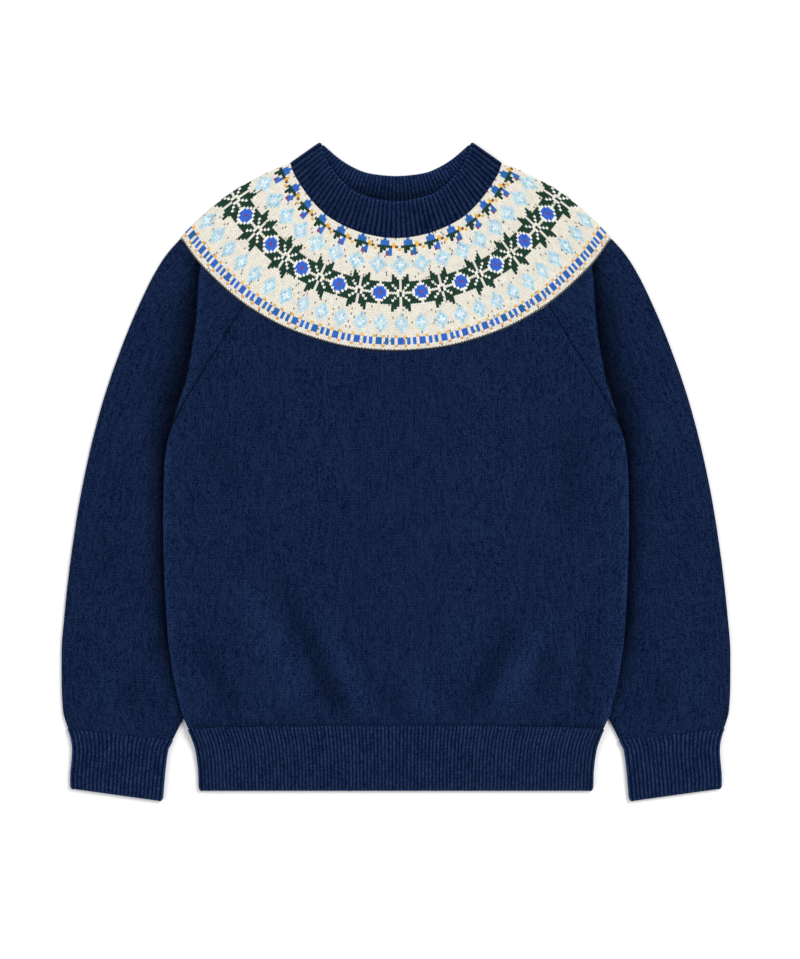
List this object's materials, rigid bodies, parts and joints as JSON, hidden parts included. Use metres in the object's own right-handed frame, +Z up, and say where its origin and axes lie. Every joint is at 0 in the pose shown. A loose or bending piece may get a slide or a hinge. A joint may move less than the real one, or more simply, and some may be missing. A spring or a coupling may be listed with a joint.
{
  "type": "fair isle sweater laid flat",
  "caption": "Child's fair isle sweater laid flat: round patterned yoke, plain body and raglan sleeves, ribbed neckband, hem and cuffs.",
  "frame": {"origin": "centre of the footprint's box, on the surface that the sweater lies on", "axes": "+Z up through the layers of cloth, +Y towards the neck, +X towards the wearer's left sleeve"},
  "size_m": [0.5358, 0.5274, 0.0103],
  "materials": {
    "plain_knit": "brushed plain-knit navy wool",
    "rib_knit": "ribbed navy wool",
    "patterned_knit": "cream wool with stranded colour bands"
  },
  "bodies": {
    "root": {"front": "plain_knit", "back": "plain_knit", "sleeve_left": "plain_knit", "sleeve_right": "plain_knit", "yoke": "patterned_knit", "neckband": "rib_knit", "hem_rib": "rib_knit", "cuff_left": "rib_knit", "cuff_right": "rib_knit"}
  },
  "joints": []
}
